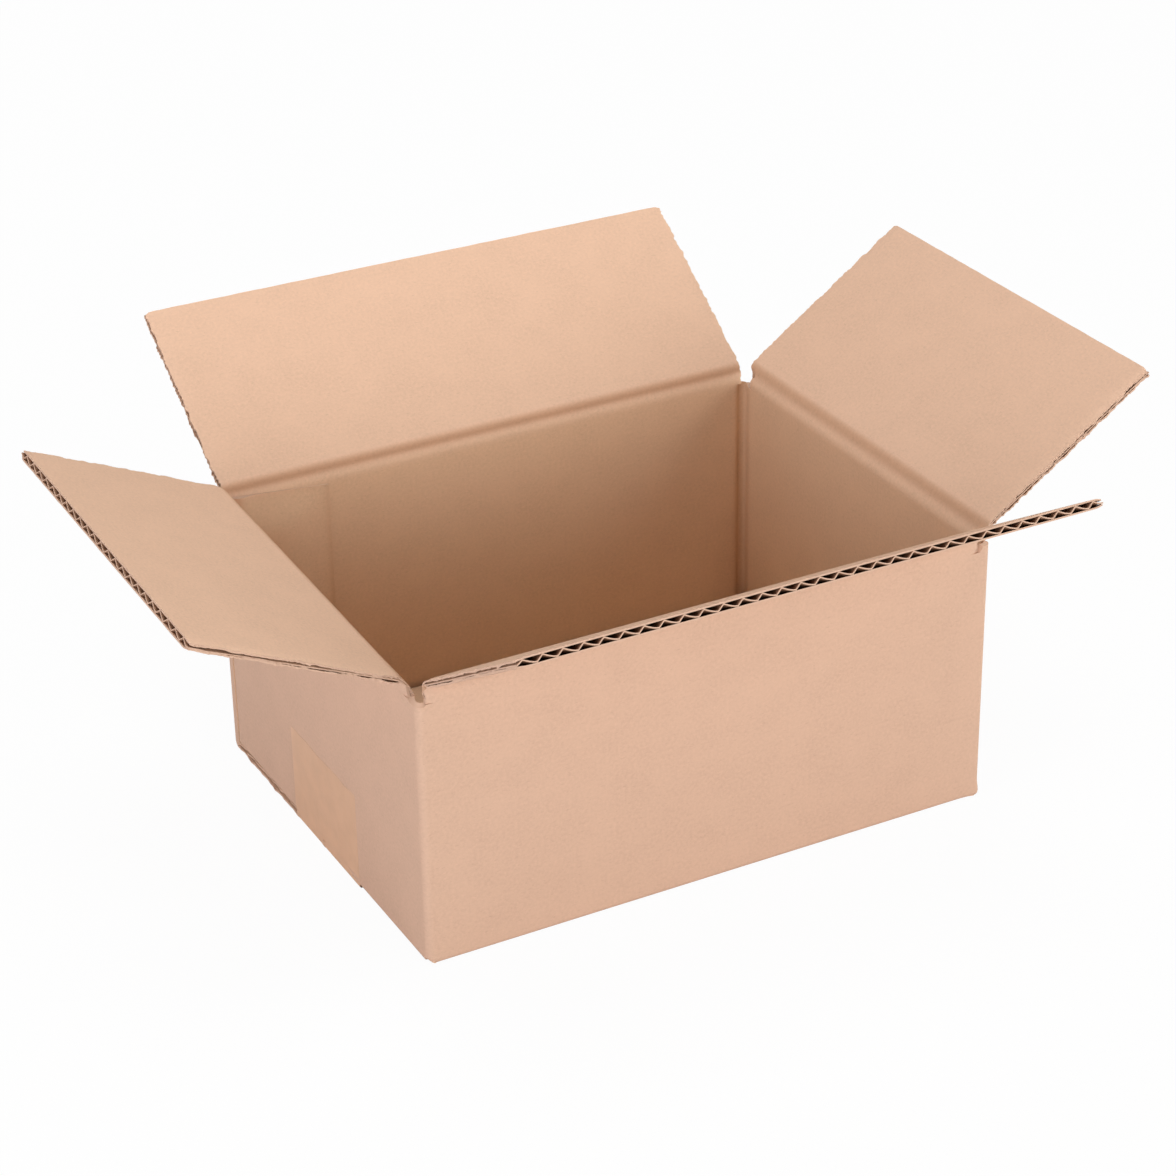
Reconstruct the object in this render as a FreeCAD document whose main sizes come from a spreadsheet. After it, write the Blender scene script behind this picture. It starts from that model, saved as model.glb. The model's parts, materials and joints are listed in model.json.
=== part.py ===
import FreeCAD, Part

import os

import Sketcher

Vector = FreeCAD.Vector

# An open corrugated board box of the common slotted kind: one blank with four walls, a glued
# tab and four bottom flaps that are folded shut and taped, and four top flaps that stand open.
# The long walls face -Y (front) and +Y (back), the short ones -X (left) and +X (right).
# The origin is the middle of the underside, and the floor is the plane Z = 0.

doc = FreeCAD.newDocument("open_board_box")

# Driving dimensions, in millimetres and degrees
DIMENSIONS = [
    ("outer_length", 206.0, "outside length along X"),
    ("outer_width", 156.0, "outside width along Y"),
    ("board", 3.0, "thickness of the corrugated board"),
    ("crease_height", 98.3, "height of the crease line of the short walls"),
    ("crease_web", 1.0, "thickness of the board where a crease crushes it"),
    ("crease_gap", 0.3, "running clearance at a crease and between closed flaps"),
    ("bevel_lead", 9.0, "how much steeper a long wall's outer slope is than its flap's root"),
    ("short_bevel", 45.0, "slope of a short wall's inner face below its crease"),
    ("closing_swing", 90.0, "turn of a flap from upright to closed"),
    ("opening_swing", 135.0, "turn of a flap from upright to fully folded back"),
    ("meeting_gap", 0.6, "gap between the free edges of the closed long flaps"),
    ("long_flap_inset", 2.6, "distance from a long flap's end to the outer corner"),
    ("short_flap_play", 1.2, "distance from a short flap's end to a long wall's inner face"),
    ("slot_drop", 4.9, "depth of the corner slots below the short crease"),
    ("nick_height", 1.5, "height of the slot ends at the bottom corners"),
    ("fold_radius", 2.4, "outer radius of the upright and bottom folds"),
    ("inner_fold_radius", 0.8, "inner radius of the upright folds"),
    ("joint_notch", 1.2, "width of the groove where the back wall's raw end meets the left fold"),
    ("raw_end_inset", 0.3, "distance of the back wall's raw end from the left face"),
    ("layer_gap", 0.3, "air between the two layers of bottom flaps"),
    ("seam_gap", 1.0, "gap between the outer bottom flaps"),
    ("tab_length", 36.5, "reach of the glued tab along the back wall"),
    ("tab_lift", 1.1, "height of the tab's lower edge above the bottom flaps, at the fold"),
    ("tab_drop", 3.5, "depth of the tab's upper edge below the short crease, at the fold"),
    ("tab_taper", 2.3, "fall of the tab's edges towards its free end"),
    ("tape_width", 50.0, "width of the closing tape"),
    ("tape_shift", 1.0, "distance of the tape's middle line from the seam"),
    ("tape_film", 0.1, "thickness of the tape"),
    ("tape_rise", 35.0, "height of the tape's ends on the short walls"),
    ("flute_pitch", 6.4, "distance from flute to flute"),
    ("liner", 0.4, "thickness of each facing sheet"),
    ("medium", 0.4, "thickness of the fluted sheet"),
    ("flute_stop", 10.0, "length beside a crease where the flutes are crushed shut"),
    ("front_lean", 59.0, "outward lean of the front flap from upright"),
    ("back_lean", 57.5, "outward lean of the back flap from upright"),
    ("left_lean", 65.0, "outward lean of the left flap from upright"),
    ("right_lean", 56.5, "outward lean of the right flap from upright"),
]

sizes = doc.addObject("Spreadsheet::Sheet", "Sizes")
sizes.Label = "driving dimensions"
for row, (alias, number, note) in enumerate(DIMENSIONS, start=1):
    sizes.set(f"A{row}", alias)
    sizes.set(f"B{row}", str(number))
    sizes.setAlias(f"B{row}", alias)
    sizes.set(f"C{row}", note)
doc.recompute()

S = "Sizes."
HALF_LENGTH = f"{S}outer_length / 2"
HALF_WIDTH = f"{S}outer_width / 2"
HALF_WEB = f"{S}crease_web / 2"
OVERCUT = f"{S}board"

# The turning line of a long flap lies just inside the inner face and that of a short flap just
# inside the outer face, so the closed short flaps lie under the closed long ones.
LONG_AXIS_DEPTH = f"({S}board - {HALF_WEB})"
SHORT_AXIS_DEPTH = f"({HALF_WEB})"
SHORT_AXIS_HEIGHT = f"{S}crease_height"
LONG_AXIS_HEIGHT = f"({S}crease_height + {S}crease_web + {S}crease_gap)"
SEAT = f"({HALF_WEB} + {S}crease_gap)"

# A long wall's outer slope and its flap's root slope share the turn to the folded-back place.
WALL_BEVEL = f"(({S}opening_swing + {S}bevel_lead) / 2)"
ROOT_SLOPE = f"(({S}opening_swing - {S}bevel_lead) / 2)"

# All top flaps end at the same edge of the blank, so they reach equally far from their creases.
FLAP_REACH = f"({HALF_WIDTH} - {LONG_AXIS_DEPTH} - {S}meeting_gap / 2)"
LONG_FLAP_SPAN = f"({S}outer_length - 2 * {S}long_flap_inset)"
SHORT_FLAP_INSET = f"({S}board + {S}short_flap_play)"
SHORT_FLAP_SPAN = f"({S}outer_width - 2 * {SHORT_FLAP_INSET})"
INNER_WIDTH = f"({S}outer_width - 2 * {S}board)"
WALL_TOP = f"({LONG_AXIS_HEIGHT} + {HALF_WEB})"
CUT_TOP = f"({WALL_TOP} + {OVERCUT})"
SLOT_FLOOR = f"({S}crease_height - {S}slot_drop)"
UPPER_LAYER = f"({S}board + {S}layer_gap)"
UPPER_LAYER_TOP = f"({UPPER_LAYER} + {S}board)"


def amount(formula):
    found = sizes.evalExpression(formula)
    return float(getattr(found, "Value", found))


def plane_of(body, role):
    return [feature for feature in body.Origin.OriginFeatures if feature.Role == role][0]


def new_body(label):
    body = doc.addObject("PartDesign::Body", label)
    body.Label = label
    return body


def new_sketch(body, role, name, height=None):
    sketch = body.newObject("Sketcher::SketchObject", name)
    sketch.AttachmentSupport = [(plane_of(body, role), "")]
    sketch.MapMode = "FlatFace"
    if height is not None:
        sketch.setExpression("AttachmentOffset.Base.z", height)
    return sketch


def bind(sketch, kind, edge, place, formula):
    # Adds one dimension that follows a formula of the sheet's cells.
    rule = sketch.addConstraint(Sketcher.Constraint(kind, edge, *place, amount(formula)))
    sketch.setExpression(f"Constraints[{rule}]", formula)


def is_clockwise(corner):
    return len(corner) > 2 and corner[5] < 0


def add_edge(sketch, corner, after):
    # Draws the edge from one corner to the next. An arc swells away from its centre.
    here = Vector(amount(corner[0]), amount(corner[1]), 0)
    there = Vector(amount(after[0]), amount(after[1]), 0)
    if len(corner) == 2:
        sketch.addGeometry(Part.LineSegment(here, there), False)
        return
    centre = Vector(amount(corner[3]), amount(corner[4]), 0)
    outward = (here + there) / 2 - centre
    swell = centre + outward.normalize() * amount(corner[2])
    sketch.addGeometry(Part.Arc(here, swell, there), False)


def add_outline(sketch, corners):
    # Draws one closed outline. A corner is (first, second) with a straight edge after it, or
    # (first, second, radius, centre_first, centre_second, turn) with an arc after it, where
    # turn is 1 for anticlockwise and -1 for clockwise. A sketch keeps every arc anticlockwise.
    start_of_outline = sketch.GeometryCount
    followers = corners[1:] + corners[:1]
    for corner, after in zip(corners, followers):
        add_edge(sketch, corner, after)
    for index, (corner, after) in enumerate(zip(corners, followers)):
        edge = start_of_outline + index
        follower = start_of_outline + (index + 1) % len(corners)
        start, end = (2, 1) if is_clockwise(corner) else (1, 2)
        next_start = 2 if is_clockwise(after) else 1
        sketch.addConstraint(Sketcher.Constraint("Coincident", edge, end, follower, next_start))
        bind(sketch, "DistanceX", edge, (start,), corner[0])
        bind(sketch, "DistanceY", edge, (start,), corner[1])
        if len(corner) > 2:
            bind(sketch, "Radius", edge, (), corner[2])


def sized_feature(body, kind, name, sketch, length, side="One side", reverse=False):
    feature = body.newObject(f"PartDesign::{kind}", name)
    feature.Profile = sketch
    feature.SideType = side
    feature.Reversed = reverse
    feature.setExpression("Length", length)
    doc.recompute()
    return feature


def pad(body, name, sketch, length, side="One side", reverse=False):
    return sized_feature(body, "Pad", name, sketch, length, side, reverse)


def pocket(body, name, sketch, length, side="One side", reverse=False):
    before = body.Shape.Volume
    feature = sized_feature(body, "Pocket", name, sketch, length, side, reverse)
    if body.Shape.Volume >= before:
        raise RuntimeError(f"{name} removes nothing")
    return feature


def signed(sign, formula):
    return formula if sign > 0 else f"-({formula})"


# Box body: walls, glued tab and closed bottom flaps, folded from one sheet
def wall_loop(body):
    # The plan of the four walls, with rounded folds and the raw end of the back wall.
    sketch = new_sketch(body, "XY_Plane", "wall_loop_plan")
    radius = f"{S}fold_radius"
    x_fold = f"{HALF_LENGTH} - {radius}"
    y_fold = f"{HALF_WIDTH} - {radius}"
    tab_fold_y = f"{HALF_WIDTH} - {S}board - {radius}"
    notch_x = f"-({HALF_LENGTH}) + {S}joint_notch"
    notch_drop = f"sqrt({radius} ^ 2 - ({radius} - {S}joint_notch) ^ 2)"
    outer = [
        (f"-({x_fold})", f"-({HALF_WIDTH})"),
        (x_fold, f"-({HALF_WIDTH})", radius, x_fold, f"-({y_fold})", 1),
        (HALF_LENGTH, f"-({y_fold})"),
        (HALF_LENGTH, y_fold, radius, x_fold, y_fold, 1),
        (x_fold, HALF_WIDTH),
        (f"-({HALF_LENGTH}) + {S}raw_end_inset", HALF_WIDTH),
        (f"-({HALF_LENGTH}) + {S}raw_end_inset", f"{HALF_WIDTH} - {S}board"),
        (notch_x, f"{HALF_WIDTH} - {S}board"),
        (notch_x, f"{tab_fold_y} + {notch_drop}", radius, f"-({x_fold})", tab_fold_y, 1),
        (f"-({HALF_LENGTH})", tab_fold_y),
        (f"-({HALF_LENGTH})", f"-({y_fold})", radius, f"-({x_fold})", f"-({y_fold})", 1),
    ]
    add_outline(sketch, outer)
    inner_radius = f"{S}inner_fold_radius"
    x_in = f"{HALF_LENGTH} - {S}board"
    y_in = f"{HALF_WIDTH} - {S}board"
    x_bend = f"{x_in} - {inner_radius}"
    y_bend = f"{y_in} - {inner_radius}"
    inner = []
    for sign_x, sign_y in ((1, -1), (1, 1), (-1, 1), (-1, -1)):
        along_x = (signed(sign_x, x_bend), signed(sign_y, y_in))
        along_y = (signed(sign_x, x_in), signed(sign_y, y_bend))
        first, last = (along_x, along_y) if sign_x * sign_y < 0 else (along_y, along_x)
        inner.append(first + (inner_radius, signed(sign_x, x_bend), signed(sign_y, y_bend), 1))
        inner.append(last)
    add_outline(sketch, inner)
    pad(body, "wall_loop", sketch, WALL_TOP)


def long_wall_crest(body, name, sign):
    # Rounds the top edge of a long wall on the turning line and slopes its outer face away.
    sketch = new_sketch(body, "YZ_Plane", f"{name}_section")
    tangent_depth = f"{LONG_AXIS_DEPTH} - {HALF_WEB} * sin({WALL_BEVEL})"
    tangent_height = f"{LONG_AXIS_HEIGHT} + {HALF_WEB} * cos({WALL_BEVEL})"
    slope_fall = f"({LONG_AXIS_DEPTH} * sin({WALL_BEVEL}) - {HALF_WEB}) / cos({WALL_BEVEL})"
    slope_foot = f"{LONG_AXIS_HEIGHT} - {slope_fall}"
    axis_y = signed(sign, f"{HALF_WIDTH} - {LONG_AXIS_DEPTH}")

    def across(depth):
        return signed(sign, f"{HALF_WIDTH} - ({depth})")

    add_outline(sketch, [
        (across("0"), slope_foot),
        (across(tangent_depth), tangent_height, HALF_WEB, axis_y, LONG_AXIS_HEIGHT, sign),
        (across(f"{S}board"), LONG_AXIS_HEIGHT),
        (across(f"{S}board"), CUT_TOP),
        (across(f"-{OVERCUT}"), CUT_TOP),
        (across(f"-{OVERCUT}"), slope_foot),
    ])
    pocket(body, name, sketch, LONG_FLAP_SPAN, "Symmetric")


def short_wall_crest(body, name, sign):
    # Rounds the top edge of a short wall on the turning line and slopes its inner face away.
    sketch = new_sketch(body, "XZ_Plane", f"{name}_section")
    bevel = f"{S}short_bevel"
    tangent_depth = f"{SHORT_AXIS_DEPTH} + {HALF_WEB} * sin({bevel})"
    tangent_height = f"{SHORT_AXIS_HEIGHT} + {HALF_WEB} * cos({bevel})"
    slope_run = f"({S}board - {SHORT_AXIS_DEPTH} + {OVERCUT})"
    slope_fall = f"({slope_run} * sin({bevel}) - {HALF_WEB}) / cos({bevel})"
    slope_foot = f"{SHORT_AXIS_HEIGHT} - {slope_fall}"
    axis_x = signed(sign, f"{HALF_LENGTH} - {SHORT_AXIS_DEPTH}")

    def across(depth):
        return signed(sign, f"{HALF_LENGTH} - ({depth})")

    add_outline(sketch, [
        (across("0"), SHORT_AXIS_HEIGHT, HALF_WEB, axis_x, SHORT_AXIS_HEIGHT, sign),
        (across(tangent_depth), tangent_height),
        (across(f"{S}board + {OVERCUT}"), slope_foot),
        (across(f"{S}board + {OVERCUT}"), CUT_TOP),
        (across(f"-{OVERCUT}"), CUT_TOP),
        (across(f"-{OVERCUT}"), SHORT_AXIS_HEIGHT),
    ])
    pocket(body, name, sketch, SHORT_FLAP_SPAN, "Symmetric")


def corner_slots(body):
    # The slots that part the flaps run a little way down into each corner.
    sketch = new_sketch(body, "XY_Plane", "corner_slot_plan", SLOT_FLOOR)
    x_end = f"{HALF_LENGTH} - {S}long_flap_inset"
    y_end = f"{HALF_WIDTH} - {SHORT_FLAP_INSET}"
    y_step = f"{HALF_WIDTH} - {S}board"
    x_inside = f"{HALF_LENGTH} - {S}board - {OVERCUT}"
    x_far = f"{HALF_LENGTH} + {OVERCUT}"
    y_far = f"{HALF_WIDTH} + {OVERCUT}"
    steps = [
        (x_end, y_far),
        (x_end, y_step),
        (x_inside, y_step),
        (x_inside, y_end),
        (x_far, y_end),
        (x_far, y_far),
    ]
    for sign_x in (-1, 1):
        for sign_y in (-1, 1):
            add_outline(sketch, [(signed(sign_x, x), signed(sign_y, y)) for x, y in steps])
    pocket(body, "corner_slots", sketch, f"{CUT_TOP} - {SLOT_FLOOR}", reverse=True)


def short_wall_foot(body, name, sign):
    # A short wall folds inwards above the outer bottom flaps, with a rounded outer edge.
    sketch = new_sketch(body, "XZ_Plane", f"{name}_section")
    radius = f"{S}fold_radius"
    fold_height = f"{UPPER_LAYER} + {radius}"

    def across(depth):
        return signed(sign, f"{HALF_LENGTH} - ({depth})")

    add_outline(sketch, [
        (across(f"-{OVERCUT}"), f"-{OVERCUT}"),
        (across(f"-{OVERCUT}"), fold_height),
        (across("0"), fold_height, radius, across(radius), fold_height, -sign),
        (across(radius), UPPER_LAYER),
        (across(f"{S}board + {OVERCUT}"), UPPER_LAYER),
        (across(f"{S}board + {OVERCUT}"), f"-{OVERCUT}"),
    ])
    pocket(body, name, sketch, INNER_WIDTH, "Symmetric")


def corner_nicks(body):
    # The slots between the bottom flaps end in a nick at each bottom corner.
    sketch = new_sketch(body, "XY_Plane", "corner_nick_plan")
    x_end = f"{HALF_LENGTH} - {S}long_flap_inset"
    y_end = f"{HALF_WIDTH} - {S}board"
    x_far = f"{HALF_LENGTH} + {OVERCUT}"
    y_far = f"{HALF_WIDTH} + {OVERCUT}"
    for sign_x in (-1, 1):
        for sign_y in (-1, 1):
            steps = [(x_end, y_end), (x_far, y_end), (x_far, y_far), (x_end, y_far)]
            add_outline(sketch, [(signed(sign_x, x), signed(sign_y, y)) for x, y in steps])
    pocket(body, "corner_nicks", sketch, f"{S}nick_height", reverse=True)


def bottom_flaps(body):
    # The short flaps fold in first and the long ones below them meet at the seam.
    upper = new_sketch(body, "XY_Plane", "inner_bottom_flap_plan", UPPER_LAYER)
    x_root = f"{HALF_LENGTH} - {S}fold_radius"
    x_free = f"{HALF_LENGTH} - {SHORT_AXIS_DEPTH} - {FLAP_REACH}"
    y_end = f"{HALF_WIDTH} - {SHORT_FLAP_INSET}"
    for sign in (-1, 1):
        steps = [(x_free, f"-({y_end})"), (x_root, f"-({y_end})"), (x_root, y_end), (x_free, y_end)]
        add_outline(upper, [(signed(sign, x), y) for x, y in steps])
    pad(body, "inner_bottom_flaps", upper, f"{S}board")

    lower = new_sketch(body, "XY_Plane", "outer_bottom_flap_plan")
    x_end = f"{HALF_LENGTH} - {S}long_flap_inset"
    y_seam = f"{S}seam_gap / 2"
    y_root = f"{HALF_WIDTH} - {S}fold_radius"
    for sign in (-1, 1):
        steps = [(f"-({x_end})", y_seam), (x_end, y_seam), (x_end, y_root), (f"-({x_end})", y_root)]
        add_outline(lower, [(x, signed(sign, y)) for x, y in steps])
    pad(body, "outer_bottom_flaps", lower, f"{S}board")


def long_wall_fold(body, name, sign):
    # Rounds the long bottom edge where a long wall turns into its bottom flap.
    sketch = new_sketch(body, "YZ_Plane", f"{name}_section")
    radius = f"{S}fold_radius"
    y_outer = signed(sign, HALF_WIDTH)
    y_far = signed(sign, f"{HALF_WIDTH} + {OVERCUT}")
    y_centre = signed(sign, f"{HALF_WIDTH} - {radius}")
    add_outline(sketch, [
        (y_outer, radius, radius, y_centre, radius, -sign),
        (y_centre, "0"),
        (y_centre, f"-{OVERCUT}"),
        (y_far, f"-{OVERCUT}"),
        (y_far, radius),
    ])
    pocket(body, name, sketch, f"{S}outer_length + 2 * {OVERCUT}", "Symmetric")


def glued_tab(body):
    # The tab folds off the left wall and is glued flat against the inside of the back wall.
    sketch = new_sketch(body, "XZ_Plane", "tab_outline", f"-({HALF_WIDTH} - {S}board)")
    x_root = f"-({HALF_LENGTH} - {S}board / 2)"
    x_free = f"-({HALF_LENGTH}) + {S}board + {S}tab_length"
    base = f"{UPPER_LAYER_TOP} + {S}tab_lift"
    top = f"{S}crease_height - {S}tab_drop"
    add_outline(sketch, [
        (x_root, base),
        (x_free, f"{base} + {S}tab_taper"),
        (x_free, f"{top} - {S}tab_taper"),
        (x_root, top),
    ])
    pad(body, "glued_tab", sketch, f"{S}board")


def tape_rebate(body):
    # The tape's pressure lets it lie flush in the underside of the outer flaps.
    sketch = new_sketch(body, "XY_Plane", "tape_rebate_plan")
    low = f"{S}tape_shift - {S}tape_width / 2"
    high = f"{S}tape_shift + {S}tape_width / 2"
    add_outline(sketch, [
        (f"-({HALF_LENGTH})", low),
        (HALF_LENGTH, low),
        (HALF_LENGTH, high),
        (f"-({HALF_LENGTH})", high),
    ])
    pocket(body, "tape_rebate", sketch, f"{S}tape_film", reverse=True)


def make_box_body():
    body = new_body("box_body")
    wall_loop(body)
    long_wall_crest(body, "front_crest", -1)
    long_wall_crest(body, "back_crest", 1)
    short_wall_crest(body, "left_crest", -1)
    short_wall_crest(body, "right_crest", 1)
    corner_slots(body)
    short_wall_foot(body, "left_foot", -1)
    short_wall_foot(body, "right_foot", 1)
    corner_nicks(body)
    bottom_flaps(body)
    long_wall_fold(body, "front_fold", -1)
    long_wall_fold(body, "back_fold", 1)
    glued_tab(body)
    tape_rebate(body)
    return body


# Closing tape: one strip up the left end, under the seam and up the right end
def make_tape():
    # Between the outer flap's edge and the wall the tape bridges the step in a straight climb,
    # which meets the rounded foot of the wall on its tangent.
    body = new_body("bottom_tape")
    sketch = new_sketch(body, "XZ_Plane", "tape_section")
    film = f"{S}tape_film"
    radius = f"{S}fold_radius"
    x_flap = f"({HALF_LENGTH} - {S}long_flap_inset)"
    x_centre = f"({HALF_LENGTH} - {radius})"
    z_centre = f"({UPPER_LAYER} + {radius})"
    across = f"({x_centre} - {x_flap})"
    upward = f"({z_centre} - {film})"
    climb = f"(atan({across} / {upward}) + asin({radius} / sqrt({across} ^ 2 + {upward} ^ 2)))"
    outer_radius = f"({radius} + {film})"

    def on_fold(reach):
        return f"{x_centre} + {reach} * cos({climb})", f"{z_centre} - {reach} * sin({climb})"

    right_end = [
        (f"{x_flap} + {film} * (1 - sin({climb})) / cos({climb})", "0"),
        on_fold(outer_radius) + (outer_radius, x_centre, z_centre, 1),
        (f"{HALF_LENGTH} + {film}", z_centre),
        (f"{HALF_LENGTH} + {film}", f"{S}tape_rise"),
        (HALF_LENGTH, f"{S}tape_rise"),
        (HALF_LENGTH, z_centre, radius, x_centre, z_centre, -1),
        on_fold(radius),
        (x_flap, film),
    ]
    left_end = [
        (f"-({x_flap})", film),
        (f"-({on_fold(radius)[0]})", on_fold(radius)[1], radius, f"-({x_centre})", z_centre, -1),
        (f"-({HALF_LENGTH})", z_centre),
        (f"-({HALF_LENGTH})", f"{S}tape_rise"),
        (f"-({HALF_LENGTH} + {film})", f"{S}tape_rise"),
        (f"-({HALF_LENGTH} + {film})", z_centre, outer_radius, f"-({x_centre})", z_centre, 1),
        (f"-({on_fold(outer_radius)[0]})", on_fold(outer_radius)[1]),
        (f"-({right_end[0][0]})", "0"),
    ]
    add_outline(sketch, right_end + left_end)
    pad(body, "tape_strip", sketch, f"{S}tape_width", "Symmetric")
    body.setExpression("Placement.Base.y", f"{S}tape_shift")
    return body


# Top flaps, each drawn upright with its turning line through its own origin
def long_flap_section(body, sign):
    # The root slopes so that the flap can fold back over the long wall's own slope.
    sketch = new_sketch(body, "YZ_Plane", "flap_section")
    root_inner = f"max({SEAT}; ({SEAT} - {HALF_WEB} * sin({ROOT_SLOPE})) / cos({ROOT_SLOPE}))"
    root_outer = f"({SEAT} + {LONG_AXIS_DEPTH} * sin({ROOT_SLOPE})) / cos({ROOT_SLOPE})"
    inner = signed(sign, f"-({HALF_WEB})")
    outer = signed(sign, LONG_AXIS_DEPTH)
    add_outline(sketch, [
        (inner, root_inner),
        (outer, root_outer),
        (outer, FLAP_REACH),
        (inner, FLAP_REACH),
    ])
    return sketch


def short_flap_section(body, sign):
    # The root is a blunt wedge: one side clears the outer face, the other the wall's slope.
    sketch = new_sketch(body, "XZ_Plane", "flap_section")
    back_side = f"(180 - {S}opening_swing)"
    front_side = f"(90 - {S}short_bevel + {S}closing_swing)"
    tip_angle = f"(({back_side} + {front_side}) / 2)"
    tip_reach = f"({SEAT} / cos(({front_side} - {back_side}) / 2))"
    inner_depth = f"({S}board - {SHORT_AXIS_DEPTH})"
    inner = signed(sign, f"-({inner_depth})")
    outer = signed(sign, SHORT_AXIS_DEPTH)
    root_outer = f"({SEAT} + {SHORT_AXIS_DEPTH} * cos({back_side})) / sin({back_side})"
    root_inner = f"({SEAT} - {inner_depth} * cos({front_side})) / sin({front_side})"
    add_outline(sketch, [
        (inner, root_inner),
        (signed(-sign, f"{tip_reach} * cos({tip_angle})"), f"{tip_reach} * sin({tip_angle})"),
        (outer, root_outer),
        (outer, FLAP_REACH),
        (inner, FLAP_REACH),
    ])
    return sketch


def flute_channels(body, is_long, middle, span):
    # Two wedge-shaped channels a pitch, open at the free edge, repeated along the whole flap.
    count = f"floor({span} / {S}flute_pitch)"
    first_crest = f"(-{count} * {S}flute_pitch / 2)"
    cavity = f"({S}board / 2 - {S}liner)"
    rise = f"(2 * {cavity} - {S}medium)"
    flank = f"atan({rise} / ({S}flute_pitch / 2))"
    apex = f"({cavity} - {S}medium / 2 - {S}medium / 2 / cos({flank}))"
    half_base = f"(({cavity} + {apex}) / tan({flank}))"
    sketch = new_sketch(body, "XY_Plane", "flute_section", FLAP_REACH)
    for half_pitches, side in ((1, -1), (2, 1)):
        centre = f"{first_crest} + {half_pitches} * {S}flute_pitch / 2"
        corners = [
            (f"{centre} - {half_base}", f"{middle} + {signed(side, cavity)}"),
            (f"{centre} + {half_base}", f"{middle} + {signed(side, cavity)}"),
            (centre, f"{middle} - ({signed(side, apex)})"),
        ]
        if not is_long:
            corners = [(across, along) for along, across in corners]
        add_outline(sketch, corners)
    pair = pocket(body, "flute_channel_pair", sketch, f"{FLAP_REACH} - {S}flute_stop")
    pattern = body.newObject("PartDesign::LinearPattern", "flute_channels")
    pattern.Originals = [pair]
    pattern.Direction = (sketch, ["H_Axis" if is_long else "V_Axis"])
    pattern.setExpression("Length", f"({count} - 1) * {S}flute_pitch")
    pattern.setExpression("Occurrences", count)
    body.Tip = pattern


def make_flap(side, is_long, sign, turn_axis):
    body = new_body(f"{side}_flap")
    if is_long:
        section = long_flap_section(body, sign)
        span, axis_depth, axis_height = LONG_FLAP_SPAN, LONG_AXIS_DEPTH, LONG_AXIS_HEIGHT
        axis_direction, half_size = "y", HALF_WIDTH
    else:
        section = short_flap_section(body, sign)
        span, axis_depth, axis_height = SHORT_FLAP_SPAN, SHORT_AXIS_DEPTH, SHORT_AXIS_HEIGHT
        axis_direction, half_size = "x", HALF_LENGTH
    pad(body, "flap_panel", section, span, "Symmetric")
    flute_channels(body, is_long, signed(sign, f"({axis_depth} - {S}board / 2)"), span)
    lean = f"{S}{side}_lean"
    body.Placement = FreeCAD.Placement(Vector(0, 0, 0), FreeCAD.Rotation(turn_axis, amount(lean)))
    body.setExpression("Placement.Rotation.Angle", lean)
    body.setExpression(f"Placement.Base.{axis_direction}", signed(sign, f"{half_size} - {axis_depth}"))
    body.setExpression("Placement.Base.z", axis_height)
    doc.recompute()
    return body


# Checks of the document and the written shapes
def check_document(pieces):
    doc.recompute()
    for thing in doc.Objects:
        if "Invalid" in thing.State or "Error" in thing.State:
            raise RuntimeError(f"{thing.Label} failed: {thing.State}")
    for piece in pieces:
        shape = piece.Shape
        if shape.isNull() or not shape.isValid() or len(shape.Solids) != 1:
            raise RuntimeError(f"{piece.Label} is not one sound solid")


def write_parts(pieces):
    os.makedirs("parts", exist_ok=True)
    for piece in pieces:
        piece.Shape.exportStep(f"parts/{piece.Label}.step")


pieces = [
    make_box_body(),
    make_tape(),
    make_flap("front", True, -1, Vector(1, 0, 0)),
    make_flap("back", True, 1, Vector(-1, 0, 0)),
    make_flap("left", False, -1, Vector(0, -1, 0)),
    make_flap("right", False, 1, Vector(0, 1, 0)),
]
check_document(pieces)
write_parts(pieces)
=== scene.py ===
import functools
import json
import math

import bmesh
import bpy
from bpy.props import FloatProperty, FloatVectorProperty, PointerProperty
from bpy.types import Operator, Panel, PropertyGroup
from mathutils import Matrix, Vector, noise


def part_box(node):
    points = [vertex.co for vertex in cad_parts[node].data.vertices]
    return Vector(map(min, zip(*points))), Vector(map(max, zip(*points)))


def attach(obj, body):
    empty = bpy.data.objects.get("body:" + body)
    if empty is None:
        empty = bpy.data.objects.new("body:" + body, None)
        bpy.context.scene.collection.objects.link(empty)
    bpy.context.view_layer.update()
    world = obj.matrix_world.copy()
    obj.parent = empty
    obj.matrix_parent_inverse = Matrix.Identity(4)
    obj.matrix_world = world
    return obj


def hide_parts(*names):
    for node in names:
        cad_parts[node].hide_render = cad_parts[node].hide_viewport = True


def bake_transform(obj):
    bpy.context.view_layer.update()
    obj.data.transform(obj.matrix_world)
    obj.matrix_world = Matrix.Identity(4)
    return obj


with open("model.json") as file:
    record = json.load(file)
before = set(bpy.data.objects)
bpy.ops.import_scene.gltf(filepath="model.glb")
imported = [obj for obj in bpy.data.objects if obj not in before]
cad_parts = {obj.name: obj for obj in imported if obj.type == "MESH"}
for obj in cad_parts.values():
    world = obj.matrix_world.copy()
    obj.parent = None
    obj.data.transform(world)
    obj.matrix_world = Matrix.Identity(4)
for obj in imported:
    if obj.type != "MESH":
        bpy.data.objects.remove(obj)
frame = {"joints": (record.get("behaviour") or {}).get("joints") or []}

bl_info = {
    "name": "Open Board Box",
    "version": (1, 0, 0),
    "blender": (4, 5, 0),
    "location": "View3D > Sidebar > Board Box",
    "description": "Dresses an open corrugated board box: walls, flaps, bottom and tape",
    "category": "Object",
}

MM = 0.001
UP = Vector((0.0, 0.0, 1.0))
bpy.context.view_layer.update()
HALF_LENGTH, HALF_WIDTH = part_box("box_body")[1].xy
TAPE_LOW, TAPE_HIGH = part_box("bottom_tape")
JOINTS = {joint["child"]: joint for joint in frame["joints"]}
CLOSED_TURN = 90.0

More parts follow.
